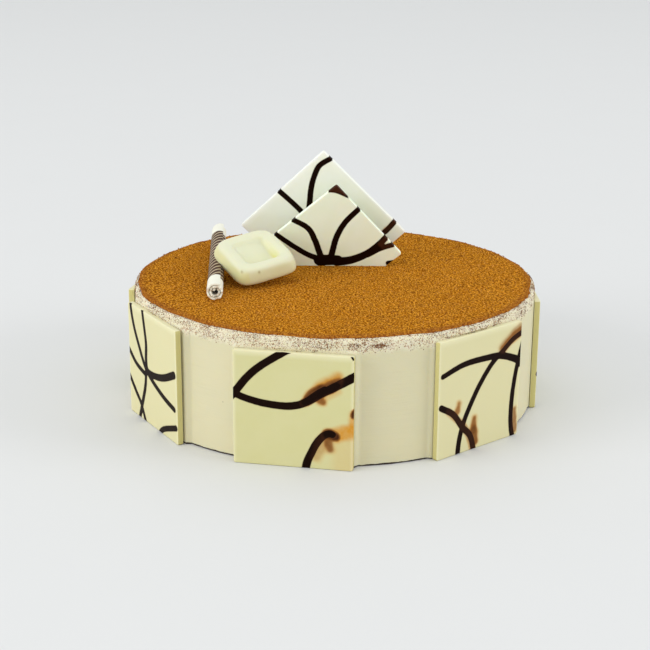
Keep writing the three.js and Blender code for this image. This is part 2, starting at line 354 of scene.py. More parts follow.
def cream_finish():
    """Smoothed cream: fine streaks, a few pits darkened with painted shade, and a whiter, rough and dusty
    rim.
    """
    shader = Shader("smoothed cream")
    height = shader.height_above()
    cream = colours().cream
    rim_start = CREAM_TOP - sizes().rim_band
    ragged = shader.cloud(3.5, 3.0)
    rim = (height + 4.0 * (ragged - 0.5)).rise(rim_start - 1.2, rim_start + 2.2)
    streaks = shader.cloud(1, 4.0, 0.6, shader.stretched(26, 26, 0.9))
    broad = shader.cloud(16, 2.0)
    grain = shader.cloud(0.75, 3.0, 0.65)
    tone = shader.blend(broad.rise(0.3, 0.7), cream, tinted(cream, 1.03, 1.02, 1.0))
    tone = shader.blend(streaks.rise(0.55, 0.8) * 0.25, tone, tinted(cream, 0.9))
    tone = shader.blend(rim * (0.55 + 0.45 * ragged), tone, colours().rim)
    dust_line = height.rise(CREAM_TOP - 8.5, CREAM_TOP - 4.5)
    dust = shader.cloud(0.60, 2.0, 0.6) + 0.10 * dust_line + 0.16 * (shader.cloud(7.0) - 0.5)
    dust = dust.rise(0.625, 0.71) * dust_line
    tone = shader.blend(dust * 0.75, tone, colours().fallen)
    # painted shade: the small pits are darkened as if shade lay in them
    pits = (1 - shader.cells(9.0).rise(0.03, 0.06)) * (1 - rim)
    tone = shader.blend(pits * 0.55, tone, tinted(cream, 0.42))
    relief = 0.35 * streaks + 0.35 * grain * (0.35 + 1.6 * rim) + 0.3 * (1 - pits)
    return shader.finish(tone, 0.62 + 0.12 * grain, shader.bump(relief, 0.28),
                         Specular_IOR_Level=0.2, **soft(0.3, 2.0))


def cocoa_finish():
    """Dry dusted cocoa: grains from pale to dark, redder and damper towards the edge."""
    shader = Shader("dusted cocoa")
    pale, plain, dark = colours().cocoa_light, colours().cocoa, colours().cocoa_dark
    grain = shader.cloud(0.95, 3.0, 0.8)
    clumps = shader.cloud(5.5, 3.0, 0.6)
    tone = shader.blend((grain + 0.14 * clumps).rise(0.53, 0.66), plain, pale)
    tone = shader.blend((1 - grain + 0.16 * clumps).rise(0.54, 0.67), tone, dark)
    edge = shader.from_axis().rise(93.5, 98.5)
    damp = (clumps + 0.25 * (shader.cloud(18.0) - 0.5) + 0.10 * edge).rise(0.62, 0.76)
    tone = shader.blend(damp * (0.25 + 0.3 * grain), tone, dark)
    red_edge = (0.27, 0.085, 0.022)
    tone = shader.blend(edge * (0.3 + 0.5 * grain), tone, red_edge)
    relief = 0.6 * grain + 0.4 * shader.cells(0.8)
    return shader.finish(tone, 0.92 + 0.05 * grain, shader.bump(relief, 0.60), Specular_IOR_Level=0.0)


def grain_finish(name, dark, pale):
    shader = Shader(name)
    shade = shader.attribute("shade")
    tone = shader.blend(shade + 0.3 * (shader.cloud(0.3) - 0.5), dark, pale)
    return shader.finish(tone, 0.95 - 0.05 * shade, Specular_IOR_Level=0.0)


# Browns of the print: where it bleeds, the core of a bleed, the faint border of a line, and a
# line over a bleed
RUSSET = (0.34, 0.12, 0.03)
DEEP_BROWN = (0.055, 0.016, 0.005)
THIN_INK = (0.30, 0.12, 0.05)
WORN_INK = (0.07, 0.022, 0.009)


def square_finish(name, ivory, cut_edge_shade, edge_highlight, waxy):
    """White chocolate with dark printed curves, brown where the print has bled."""
    shader = Shader(name)
    cloudy = shader.cloud(14, 3.0)
    fine = shader.cloud(1.6, 3.0)
    face = shader.blend(cloudy.rise(0.3, 0.7), ivory, tinted(ivory, 0.98, 0.98, 0.94))
    # painted light: a lighter ivory on the squares listed as painted lighter
    face = shader.blend(shader.attribute("painted_light"), face, tinted(ivory, 1.07, 1.05, 1.16))
    # painted highlight along the top edge and a thin border of the face
    face = shader.blend(shader.attribute("edge_highlight"), face, edge_highlight)
    # painted shade: darker yellow on the cut sides
    face = shader.blend(shader.attribute("side").rise(0.25, 0.9), face, cut_edge_shade)
    rust = shader.attribute("orange") * (0.80 + 0.4 * fine)
    brown = shader.attribute("brown") * (0.80 + 0.4 * fine)
    face = shader.blend(rust, face, colours().rust)
    face = shader.blend((brown * 2.5).rise(0, 1) * 0.75, face, RUSSET)
    face = shader.blend(brown, face, DEEP_BROWN)
    edge = shader.attribute("ink") + 0.22 * (shader.cloud(2.2, 3.0) - 0.5)
    halo = edge.rise(0.8, 0.0) * 0.14
    face = shader.blend(halo, face, THIN_INK)
    line = edge.rise(0.16, -0.12)
    face = shader.blend(line, face, shader.blend(rust * (1 - brown) * 0.75, colours().ink, WORN_INK))
    rough = 0.42 + 0.10 * cloudy - 0.06 * line
    return shader.finish(face, rough, shader.bump(0.7 * cloudy + 0.3 * fine, 0.10),
                         Specular_IOR_Level=0.05, **waxy)


def cup_finish():
    """Moulded white chocolate, with painted shade, a darker yellow, on the inner wall of its recess and on
    its sides under the rim.
    """
    shader = Shader("moulded white chocolate")
    cloudy = shader.cloud(8, 3.0)
    painted_shade = shader.attribute("painted_shade")
    ivory = colours().cup
    # painted shade: darker yellow where the recess wall and the lower sides lie in shade
    tone = shader.blend(painted_shade + 0.10 * (cloudy - 0.5), ivory, tinted(ivory, 0.95, 0.90, 0.40))
    bubbles = shader.attribute("bubble")
    tone = shader.blend(bubbles * 0.6, tone, tinted(ivory, 0.42, 0.33, 0.12))
    return shader.finish(tone, 0.38 + 0.12 * cloudy, shader.bump(cloudy, 0.12),
                         Specular_IOR_Level=0.5, **soft(0.45, 3.2))


def roll_finish():
    """Dark chocolate with pale slanting stripes, and plain pale ends."""
    shader = Shader("striped chocolate")
    along = shader.attribute("along")
    around = shader.attribute("around")
    starts = 4.6
    wave = shader.node("Math", {"operation": "FRACT"}, {0: along / sizes().stripe + around * starts})
    stripe = (wave + 0.16 * (shader.cloud(2.4, 2.0) - 0.5)).rise(0.60, 0.70) * (1 - wave.rise(0.86, 0.95))
    pale = shader.attribute("end") + 0.30 * (shader.cloud(1.6, 3.0) - 0.5)
    light = shader.cloud(1.2, 2.0)
    dark = shader.blend(light.rise(0.4, 0.7), colours().roll, tinted(colours().roll, 1.6))
    tone = shader.blend(stripe, dark, colours().stripes)
    tone = shader.blend(pale.rise(0.42, 0.58), tone, colours().roll_end)
    # painted shade: the inner turns darken towards a brown, as shade inside the roll's hollow
    tone = shader.blend(shader.attribute("inner") * 0.8, tone, tinted(colours().roll, 2.4))
    relief = 0.5 * stripe + 0.5 * light
    return shader.finish(tone, 0.42 + 0.15 * light, shader.bump(relief, 0.12), Specular_IOR_Level=0.05)


def floor_finish():
    shader = Shader("plain pale floor")
    tone = shader.blend(shader.cloud(60, 2.0), colours().floor, tinted(colours().floor, 0.99))
    return shader.finish(tone, 0.75 + 0.02 * shader.cloud(40, 2.0))


# ---------------------------------------------------------------- working with meshes

def clear_selection():
    if bpy.context.mode != "OBJECT":
        bpy.ops.object.mode_set(mode="OBJECT")
    bpy.ops.object.select_all(action="DESELECT")


def take(piece):
    clear_selection()
    piece.select_set(True)
    bpy.context.view_layer.objects.active = piece


def started(name):
    """The primitive that was just added, with its place and size moved into its mesh."""
    piece = bpy.context.object
    piece.name = name
    piece.data.name = name
    bpy.ops.object.transform_apply(location=True, rotation=True, scale=True)
    return piece


def edit_all(piece):
    """Starts editing a piece, with all of its mesh selected."""
    take(piece)
    bpy.ops.object.mode_set(mode="EDIT")
    bpy.ops.mesh.select_all(action="SELECT")


def stop_editing():
    bpy.ops.object.mode_set(mode="OBJECT")


def face_outward(piece):
    edit_all(piece)
    bpy.ops.mesh.normals_make_consistent(inside=False)
    stop_editing()


def points_of(piece):
    flat = np.empty(3 * len(piece.data.vertices), np.float32)
    piece.data.vertices.foreach_get("co", flat)
    return flat.reshape(-1, 3).astype(float) / MM


def set_points(piece, points):
    piece.data.vertices.foreach_set("co", (points * MM).astype(np.float32).ravel())
    piece.data.update()


def finish_with(piece, kind, **settings):
    """Adds a modifier, sets it and applies it."""
    take(piece)
    modifier = piece.modifiers.new(kind.title(), kind)
    for key, value in settings.items():
        setattr(modifier, key, value)
    bpy.ops.object.modifier_apply(modifier=modifier.name)


def round_edges(piece, width, segments):
    """Rounds the sharp edges of a piece, over a width in millimetres."""
    finish_with(piece, "BEVEL", width=width * MM, segments=segments, limit_method="ANGLE",
                angle_limit=math.radians(60))


def smooth(piece, degrees):
    take(piece)
    bpy.ops.object.shade_smooth_by_angle(angle=math.radians(degrees))


def store(piece, name, values):
    """Keeps one number for each vertex, for the material to read."""
    layer = piece.data.attributes.new(name, "FLOAT", "POINT")
    layer.data.foreach_set("value", np.asarray(values, np.float32))


def limited(values):
    """The values, kept between 0 and 1."""
    return np.clip(values, 0, 1)


def eased(values):
    """Values between 0 and 1, drawn towards the nearer end."""
    return values * values * (3 - 2 * values)


def around_axis(points):
    """The angle of each point round the upright axis, and its distance from it."""
    return np.arctan2(points[:, 1], points[:, 0]), np.hypot(points[:, 0], points[:, 1])


def lumps(points, size, seed=0.0):
    """Smooth noise from -1 to 1 at each point, with lumps about size millimetres across."""
    shift = Vector((seed * 17.3, seed * 5.1, seed * 9.7))
    return np.array([noise.noise(Vector(point) / size + shift) for point in points])


def hand_over(piece, finish, slot, *replaced):
    """Dresses a finished piece, sets its body and hides the parts it stands for. Its slot is not used."""
    piece.data.materials.clear()
    piece.data.materials.append(finish)
    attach(piece, "root")
    if replaced:
        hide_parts(*replaced)
    clear_selection()
    return piece


def turned_stack(name, profile, steps):
    """A round body, raised ring by ring from a filled disc through (radius, height) pairs,
    and closed at its top."""
    clear_selection()
    (radius, height), *rest = profile
    bpy.ops.mesh.primitive_circle_add(vertices=steps, radius=radius * MM, fill_type="TRIFAN",
                                      location=(0, 0, height * MM))
    piece = started(name)
    edit_all(piece)
    bpy.ops.mesh.select_mode(type="EDGE")
    bpy.ops.mesh.region_to_loop()
    for next_radius, next_height in rest:
        rise = (0, 0, (next_height - height) * MM)
        bpy.ops.mesh.extrude_region_move(TRANSFORM_OT_translate={"value": rise})
        ratio = next_radius / radius
        if ratio != 1:
            bpy.ops.transform.resize(value=(ratio, ratio, 1))
        radius, height = next_radius, next_height
    bpy.ops.mesh.extrude_region_move()
    bpy.ops.mesh.merge(type="CENTER")
    stop_editing()
    face_outward(piece)
    return piece


# ---------------------------------------------------------------- reading the frame

def corners_of(node):
    """The node's own corner points, each once, in millimetres."""
    points = np.array([vertex.co[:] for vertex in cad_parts[node].data.vertices])
    return np.unique((points / MM).round(4), axis=0)


def flat_sides(node):
    """The directions of the node's flat faces, the one with the largest area first."""
    areas = {}
    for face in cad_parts[node].data.polygons:
        key = tuple(round(c, 2) for c in face.normal)
        areas[key] = areas.get(key, Vector()) + face.normal * face.area
    ordered = sorted(areas.values(), key=lambda total: -total.length)
    return [np.array(total.normalized()) for total in ordered]


class Square:
    """Where a chocolate square stands: its directions across, up and out, and its size."""

    def __init__(self, node):
        sides = flat_sides(node)
        points = corners_of(node)
        middle = points.mean(axis=0)
        outside = np.array([0, -1, 0]) if node in UPRIGHT_SQUARES else middle * (1, 1, 0)
        self.out = sides[0] if sides[0] @ outside > 0 else -sides[0]
        edges = [side for side in sides if abs(side @ self.out) < 0.1][:4]
        self.up = max(edges, key=lambda side: side[2])
        self.across = np.cross(self.up, self.out)
        spans = [points @ axis for axis in (self.across, self.up, self.out)]
        self.width, self.height, self.thickness = [span.max() - span.min() for span in spans]
        centre = [(span.max() + span.min()) / 2 for span in spans]
        self.middle = centre[0] * self.across + centre[1] * self.up + centre[2] * self.out

    def into(self, points):
        """Points of the frame as (across, up, out) from the square's middle."""
        return (points - self.middle) @ np.array([self.across, self.up, self.out]).T

    def out_of(self, points):
        return points @ np.array([self.across, self.up, self.out]) + self.middle


# ---------------------------------------------------------------- cream, sponge, cocoa

def side_wander(angle, height):
    """The slow waves that a hand-held spatula leaves round the side."""
    return SIDE_WAVE * (0.5 * np.sin(3 * angle + 0.6) + 0.3 * np.sin(7 * angle + height / 17)
                        + 0.2 * np.sin(13 * angle - height / 11))


def top_wander(angle, distance):
    reach = distance / CAKE_RADIUS
    return TOP_WAVE * reach * (0.6 * np.sin(2 * angle + 1.1) + 0.4 * np.sin(5 * angle - 4 * reach))


def cocoa_edge(angle):
    """Radius of the cocoa's ragged outline."""
    ring = np.stack([np.cos(angle), np.sin(angle), 0 * angle], axis=-1) * COCOA_RADIUS
    fine = 0.45 * lumps(ring, 2.2, 4) + 0.35 * lumps(ring, 8.0, 5)
    return COCOA_RADIUS + 0.35 * np.sin(11 * angle) + 0.25 * np.sin(23 * angle + 2) + fine


def cocoa_surface(points):
    """Height of the cocoa's surface over each point."""
    angle, distance = around_axis(points)
    flat = points * (1, 1, 0)
    relief = 0.6 * lumps(flat, 1.9, 1) + 0.5 * lumps(flat, 4.5, 2) + 0.5 * lumps(flat, 16, 3)
    return COCOA_TOP + top_wander(angle, distance) + sizes().cocoa_relief * relief


def make_sponge():
    profile = [(CAKE_RADIUS - 0.5, 0.0), (CAKE_RADIUS - 0.3, 0.35), (CAKE_RADIUS - 0.3, 0.8),
               (CAKE_RADIUS - 0.6, BASE_TOP), (40, BASE_TOP)]
    sponge = turned_stack("dark_sponge", profile, 480)
    points = points_of(sponge)
    angle, distance = around_axis(points)
    crumb = 0.16 * lumps(points, 1.6, 6) + 0.2 * lumps(points, 5, 7) + side_wander(angle, 0) - 0.1
    spread = 1 + np.where(distance > 90, crumb, 0) / CAKE_RADIUS
    set_points(sponge, press_seats(points * np.stack([spread, spread, np.ones_like(spread)], 1)))
    smooth(sponge, 50)
    return hand_over(sponge, sponge_finish(), "sponge", "sponge_base")


def press_seats(points, squeezed=0.01):
    """Brings the cake's side to the inner face of each side square, and leaves a little
    cream squeezed out past the square's edges, so many millimetres wide."""
    for node in SIDE_SQUARES:
        square = Square(node)
        local = square.into(points)
        beside = abs(local[:, 0]) - square.width / 2
        over = abs(local[:, 1]) - square.height / 2
        behind = -square.thickness / 2 - SQUARE_GAP - local[:, 2]
        pressed = (beside < 0.1) & (over < 0.1) & (behind < 0)
        fill = 0.6 * limited(1 - beside / squeezed) ** 1.5 * limited(1 - over / 1.5) ** 2
        fill = np.where((behind > 0) & (behind < 5), fill, 0)
        local[:, 2] += behind * np.where(pressed, 1, fill)
        points = square.out_of(local)
    return points


def cut_slots(piece):
    """Opens the slots that the two upright squares stand in."""
    clearance = 0.12
    for node in UPRIGHT_SQUARES:
        square = Square(node)
        clear_selection()
        bpy.ops.mesh.primitive_cube_add(size=1)
        knife = started("slot_cutter")
        spread = np.array([square.width, square.height, square.thickness]) + clearance
        set_points(knife, square.out_of(points_of(knife) * MM * spread))
        finish_with(piece, "BOOLEAN", operation="DIFFERENCE", solver="MANIFOLD", object=knife)
        bpy.data.objects.remove(knife)


def make_cream():
    """The cream coat, spread in one round stack, then worked by hand."""
    row = 1.1
    top_of_side = CREAM_TOP - RIM_ROUNDING
    rows = round((top_of_side - BASE_TOP) / row)
    side = [(CAKE_RADIUS, BASE_TOP + (top_of_side - BASE_TOP) * i / rows) for i in range(rows + 1)]
    turns = [math.radians(15 * i) for i in range(1, 7)]
    rim = [(CAKE_RADIUS - RIM_ROUNDING * (1 - math.cos(turn)), top_of_side + RIM_ROUNDING * math.sin(turn))
           for turn in turns]
    profile = [(98.4, BASE_TOP), *side, *rim, (97, CREAM_TOP), (94, CREAM_TOP), (60, CREAM_TOP)]
    cream = turned_stack("cream_coat", profile, 720)
    points = points_of(cream)
    angle, distance = around_axis(points)
    height = points[:, 2]
    on_side = distance > 97.5
    skirt = on_side & (height < BASE_TOP + 0.01) & (distance > 99)
    droop = 0.26 * (1 + lumps(points, 4.0, 8)) + 0.3 * np.maximum(0, lumps(points, 1.8, 9))
    rough = limited((height - (CREAM_TOP - sizes().rim_band)) / 4)
    rim_relief = sizes().rim_relief * (lumps(points, 1.9, 10) + 0.6 * lumps(points, 4.2, 11))
    streak = sizes().streak * lumps(points * (0.08, 0.08, 1.0), 1.8, 12)
    swell = 0.06 * lumps(points, 9, 13)
    moved = side_wander(angle, height) + rough * rim_relief + streak + swell
    scale = 1 + np.where(on_side, moved, 0) / np.maximum(distance, 1)
    points[:, :2] *= scale[:, None]
    points[:, 2] -= np.where(skirt, np.clip(droop, 0, 0.95), 0)
    top = (distance < 98.6) & (height > CREAM_TOP - 0.4) & (distance > 90)
    points[:, 2] += np.where(top, 0.12 * lumps(points, 1.7, 14) - 0.06, 0)
    set_points(cream, press_seats(points, 1.6))
    cut_slots(cream)
    smooth(cream, 45)
    return hand_over(cream, cream_finish(), "cream", "cream_body")


def make_cocoa():
    """The dusted layer: a fine grid pulled round, raised in lumps, thin at its edge."""
    cells = 228
    clear_selection()
    bpy.ops.mesh.primitive_grid_add(x_subdivisions=cells, y_subdivisions=cells, size=2 * MM)
    cocoa = started("cocoa_dust")
    edit_all(cocoa)
    bpy.ops.mesh.region_to_loop()
    bpy.ops.mesh.extrude_region_move(TRANSFORM_OT_translate={"value": (0, 0, -MM)})
    bpy.ops.mesh.edge_face_add()
    stop_editing()
    points = points_of(cocoa)
    u, v = points[:, 0], points[:, 1]
    lower = points[:, 2] < -0.5
    x = u * np.sqrt(1 - v * v / 2)
    y = v * np.sqrt(1 - u * u / 2)
    angle = np.arctan2(y, x)
    out = np.hypot(x, y)
    reach = out * (COCOA_RADIUS + (cocoa_edge(angle) - COCOA_RADIUS) * out ** 6)
    points = np.stack([reach * np.cos(angle), reach * np.sin(angle), 0 * reach], axis=1)
    edge_width, edge_fall = 1.6, 0.78
    thin = limited((cocoa_edge(angle) - reach) / edge_width)
    fall = edge_fall * (1 - np.sqrt(1 - (1 - thin) ** 2))
    bottom = CREAM_TOP - 0.12
    points[:, 2] = np.where(lower, bottom, cocoa_surface(points) - fall)
    set_points(cocoa, points)
    face_outward(cocoa)
    cut_slots(cocoa)
    smooth(cocoa, 55)
    return hand_over(cocoa, cocoa_finish(), "cocoa", "cocoa_top")


# ---------------------------------------------------------------- loose grains

def model_grain():
    """One crumb of cocoa, 1 mm across: its points in millimetres and its faces."""
    clear_selection()
    bpy.ops.mesh.primitive_ico_sphere_add(subdivisions=1, radius=0.5 * MM)
    grain = started("grain_pattern")
    edit_all(grain)
    bpy.ops.transform.vertex_random(offset=0.14 * MM, seed=3)
    stop_editing()
    faces = np.array([face.vertices[:] for face in grain.data.polygons])
    points = points_of(grain)
    bpy.data.objects.remove(grain)
    return points, faces


def scatter(name, pattern, places, scales, draw):
    """One mesh of many copies of a grain, each turned its own way."""
    points, faces = pattern
    turns = [np.array(Vector((draw.gauss(0, 1), draw.gauss(0, 1), draw.gauss(0, 1))).normalized()
                      .to_track_quat("Z", "Y").to_matrix()) for _ in places]
    all_points = np.concatenate([points * scale @ turn.T + place
                                 for place, scale, turn in zip(places, scales, turns)])
    steps = np.arange(len(places)) * len(points)
    all_faces = (faces[None] + steps[:, None, None]).reshape(-1, 3)
    mesh = bpy.data.meshes.new(name)
    mesh.from_pydata((all_points * MM).tolist(), [], all_faces.tolist())
    piece = bpy.data.objects.new(name, mesh)
    bpy.context.scene.collection.objects.link(piece)
    shades = [draw.random() for _ in places]
    store(piece, "shade", np.repeat(shades, len(points)))
    return piece


def make_grains():
    """Loose cocoa: small clumps on top, and specks that fell on the cream's rim."""
    draw = random.Random(11)
    spots = []
    while len(spots) < sizes().grains:
        angle = draw.uniform(0, 2 * math.pi)
        reach = (COCOA_RADIUS - 0.6) * math.sqrt(draw.random())
        spots.append((reach * math.cos(angle), reach * math.sin(angle), 0.0))
    spots = np.array(spots)
    scales = np.array([draw.triangular(0.30, 0.85, 0.42) for _ in spots])
    spots[:, 2] = cocoa_surface(spots) + 0.10 * scales
    keep = np.ones(len(spots), bool)
    room = 0.5
    for node in UPRIGHT_SQUARES:
        square = Square(node)
        local = abs(square.into(spots))
        between = local[:, :2].max(axis=1) < square.width / 2 + room
        keep &= ~(between & (local[:, 2] < square.thickness / 2 + room))
    grains = scatter("cocoa_grains", model_grain(), spots[keep], scales[keep], draw)
    pale = tinted(colours().cocoa_light, 0.97, 1.05, 2.0)
    hand_over(grains, grain_finish("cocoa grains", colours().cocoa_dark, pale), "cocoa")
    make_specks(draw)


# Denser smears of specks, as (degrees to the right of the front, how far down the rim,
# width, height, how many specks)
SMEARS = [(11.6, 4.4, 3.8, 0.5, 130), (4.6, 4.7, 3.0, 1.1, 90), (-4.0, 5.0, 5.0, 1.4, 60),
          (28.0, 3.6, 7.0, 1.2, 120)]


def make_specks(draw):
    """Specks that fell all over the rim, in drifts, and a few denser smears in front."""
    places = []
    scales = []
    deepest = 9
    while len(places) < sizes().specks:
        angle = draw.uniform(0, 2 * math.pi)
        drop = draw.uniform(0, deepest)
        ring = Vector((math.cos(angle), math.sin(angle), 0.0)) * CAKE_RADIUS
        drift = 0.5 + 0.8 * noise.noise(ring / 9) + 0.35 * noise.noise(ring / 2.5)
        chance = (0.45 + 0.55 * math.exp(-drop / 1.2)) * min(1, (deepest - drop) / 4)
        if draw.random() > drift * chance:
            continue
        places.append(rim_spot(angle, drop))
        scales.append(draw.triangular(0.16, 0.58, 0.24))
    for heading, low, wide, tall, count in SMEARS:
        for _ in range(count):
            turn = math.radians(heading - 90) + draw.gauss(0, wide / 1.9) / CAKE_RADIUS
            places.append(rim_spot(turn, low + draw.gauss(0, tall)))
            scales.append(draw.triangular(0.2, 0.55, 0.32))
    specks = scatter("rim_specks", model_grain(), np.array(places), np.array(scales), draw)
    fallen = colours().fallen
    hand_over(specks, grain_finish("fallen cocoa", tinted(fallen, 0.30), fallen), "cocoa")


def rim_spot(angle, drop):
    """A spot on the cream's edge: drop is how far down its curve from the cocoa's edge."""
    turn = drop / RIM_ROUNDING
    radius = CAKE_RADIUS - RIM_ROUNDING
    height = CREAM_TOP - RIM_ROUNDING
    if turn < math.pi / 2:
        radius += RIM_ROUNDING * math.sin(turn)
        height += RIM_ROUNDING * math.cos(turn)
    else:
        radius = CAKE_RADIUS
        height -= drop - RIM_ROUNDING * math.pi / 2
    radius += float(side_wander(angle, height)) + 0.02
    return np.array([radius * math.cos(angle), radius * math.sin(angle), height])


# ---------------------------------------------------------------- chocolate squares

def smooth_path(points):
    """Points close together on a smooth curve through the given ones."""
    steps = 8
    knots = np.array(points, float)
    knots = np.vstack([2 * knots[0] - knots[1], knots, 2 * knots[-1] - knots[-2]])
    path = []
    for a, b, c, d in zip(knots, knots[1:], knots[2:], knots[3:]):
        for t in np.linspace(0, 1, steps, endpoint=False):
            path.append(0.5 * (2 * b + (c - a) * t + (2 * a - 5 * b + 4 * c - d) * t ** 2
                               + (3 * b - a - 3 * c + d) * t ** 3))
    return np.vstack([*path, knots[-2]])


def ink_distance(spots, strokes):
    """How far each spot is outside the nearest printed curve, in millimetres."""
    nearest = np.full(len(spots), 9.0)
    for points, width_at_start, width_at_end in strokes:
        path = smooth_path(points)
        widths = np.linspace(width_at_start, width_at_end, len(path))
        for start, end, width in zip(path, path[1:], widths):
            span = end - start
            along = limited((spots - start) @ span / (span @ span))
            gap = np.linalg.norm(spots - start - along[:, None] * span, axis=1) - width / 2
            nearest = np.minimum(nearest, gap)
    return nearest


def arcs(seed, half):
    """Curves for a square that the picture doesn't show, swept across it at random."""
    draw = random.Random(seed)
    strokes = []
    hub = (draw.uniform(-0.4, 0.4) * half, draw.uniform(-0.4, 0.4) * half)
    for i in range(3):
        turn = math.radians(85 * i + draw.uniform(-22, 22))
        far = 1.6 * half
        end = (hub[0] + far * math.cos(turn), hub[1] + far * math.sin(turn))
        start = (hub[0] - far * math.cos(turn + 0.7), hub[1] - far * math.sin(turn + 0.7))
        bulge = draw.uniform(-6, 6)
        middle = (hub[0] + bulge, hub[1] - bulge)
        strokes.append(([start, middle, end], draw.uniform(2.1, 2.6), draw.uniform(2.2, 2.8)))
    return strokes


def stain_amounts(spots, stains):
    """How brown and how orange the bled print makes each spot, from 0 to 1."""
    brown = np.zeros(len(spots))
    orange = np.zeros(len(spots))
    drift = 0.6 * lumps(np.column_stack([spots, 0 * spots[:, 0]]), 3.4, 41)
    for *stroke, fade, brownness, orangeness in stains:
        near = limited(1 - (ink_distance(spots, [stroke]) + drift) / fade)
        core = limited((near - 0.35) / 0.65)
        orange = 1 - (1 - orange) * (1 - orangeness * eased(near))
        brown = 1 - (1 - brown) * (1 - brownness * eased(core))
    return brown, orange


def round_corners(points, half_width, half_height, radius):
    """Pulls the corners of a flat grid in to quarter circles."""
    over_x = abs(points[:, 0]) - (half_width - radius)
    over_y = abs(points[:, 1]) - (half_height - radius)
    corner = (over_x > 0) & (over_y > 0)
    reach = np.hypot(over_x, over_y)
    ratio = np.where(corner, np.maximum(over_x, over_y) / np.maximum(reach, 1e-9), 1)
    pulled_x = np.sign(points[:, 0]) * (half_width - radius + over_x * ratio)
    pulled_y = np.sign(points[:, 1]) * (half_height - radius + over_y * ratio)
    points[:, 0] = np.where(corner, pulled_x, points[:, 0])
    points[:, 1] = np.where(corner, pulled_y, points[:, 1])
    return points


def print_square(piece, square, node, seed, both_faces):
    """Keeps on each point of a flat square how far it is from the print, how stained it is, how near
    the square's border, where a highlight is painted, and whether it is on a cut side, where shade is
    painted."""
    points = points_of(piece)
    spots = points[:, :2]
    from_middle = abs(points[:, 2])
    depth = square.thickness / 2 - (from_middle if both_faces else points[:, 2])
    strokes = INK.get(node) or arcs(seed, square.width / 2)
    store(piece, "ink", ink_distance(spots, strokes) + 3.0 * np.maximum(0, depth - 0.3))
    brown, orange = stain_amounts(spots, STAINS.get(node, []))
    front = depth < 0.8
    store(piece, "brown", brown * front)
    store(piece, "orange", orange * front)
    # painted light: how much lighter this square is painted
    store(piece, "painted_light", np.full(len(points), SQUARES_PAINTED_LIGHTER.get(node, 0)))
    from_side = square.width / 2 - abs(points[:, 0])
    from_top = square.height / 2 - points[:, 1]
    # painted shade goes on the cut sides, within a bevel's width of them
    cut = limited((square.thickness / 2 - from_middle) / sizes().edge_bevel)
    store(piece, "side", np.where(from_side < from_top, cut, 0))
    # painted highlight: whiter near the top edge and along the face's border
    store(piece, "edge_highlight", np.maximum(limited(1 - from_top / 3.0), limited(0.9 - from_side / 1.8)))


def make_square(name, node, finish, slot, both_faces):
    """One square: a fine grid, thickened, bevelled and printed, then bowed by hand."""
    square = Square(node)
    cell = 0.62
    clear_selection()
    bpy.ops.mesh.primitive_grid_add(x_subdivisions=round(square.width / cell),
                                    y_subdivisions=round(square.height / cell), size=1)
    piece = started(name)
    play = 0.2
    corner = 0.9
    width, height = square.width - play, square.height - play
    points = points_of(piece) * MM * (width, height, 1)
    set_points(piece, round_corners(points, width / 2, height / 2, corner))
    finish_with(piece, "SOLIDIFY", thickness=(square.thickness - SQUARE_GAP) * MM, offset=0)
    round_edges(piece, sizes().edge_bevel, 3)
    seed = len(name) + sum(square.middle)
    print_square(piece, square, node, seed, both_faces)
    points = points_of(piece)
    flat = points * (1, 1, 0)
    bow = sizes().bow * (1.4 * lumps(flat, 34, seed) + 0.35 * lumps(flat, 9, seed))
    ragged = 0.10 * lumps(points, 5, seed + 1)
    rim = np.maximum(abs(points[:, 0]) / square.width, abs(points[:, 1]) / square.height) > 0.49
    points[:, 2] += bow - bow.max()
    points[:, :2] *= 1 - (np.where(rim, abs(ragged), 0) / square.width * 2)[:, None]
    set_points(piece, square.out_of(points))
    smooth(piece, 50)
    return hand_over(piece, finish, slot, node)


def make_side_squares():
    finish = square_finish("marbled white chocolate", colours().chocolate, colours().cut,
                           colours().edge_highlight, soft(0.12, 1.2))
    for node in SIDE_SQUARES:
        make_square(node.replace("panel", "square"), node, finish, "marbled_chocolate", False)


def make_upright_squares():
    # The front square's ivory is painted light: lighter than the side squares' chocolate, for the light it
    # catches
    ivory, pale = colours().upright, colours().pale
    front = square_finish("marbled ivory chocolate", ivory, ivory, ivory, soft(0.3, 1.6))
    back = square_finish("pale chocolate", pale, pale, pale, soft(0.8, 5.0, (1.0, 0.95, 0.82)))
    make_square("front_square", "front_plaque", front, "marbled_chocolate", True)
    make_square("back_square", "back_plaque", back, "pale_chocolate", True)


# ---------------------------------------------------------------- cup and roll

# The cup and the two bubbles in its side, counted from its foot, then the roll, its sheet and
# the lengths of its plain ends
CUP_WIDTH = 34.0
CUP_MOUTH = 19.0
CUP_DEPTH = 4.3
CUP_BUBBLES = [(12.2, -14.8, 6.9), (15.8, -6.9, 6.5)]
ROLL_WIDTH = 9.2
ROLL_SHEET = 0.95
ROLL_PITCH = 1.3
ROLL_TURNS = 2.3
PLAIN_NEAR_END = 15.5
PLAIN_FAR_END = 17.0


def cup_place():
    """Reads where the cup stands: its foot and its directions across, ahead and up."""
    points = corners_of("chocolate_cup")
    up = -flat_sides("chocolate_cup")[0]
    level = points @ up
    ring = points[level < level.min() + 0.05]
    foot = ring.mean(axis=0)
    side = np.cross(up, (0, -1, 0))
    side /= np.linalg.norm(side)
    ahead = np.cross(up, side)
    flat = (ring - foot) @ np.array([side, ahead]).T
    corner = np.angle(np.sum((flat[:, 0] + 1j * flat[:, 1]) ** 4)) / 4
    turn = corner - math.pi / 4
    across = math.cos(turn) * side + math.sin(turn) * ahead
    return foot, np.array([across, np.cross(up, across), up]), level.max() - level.min()


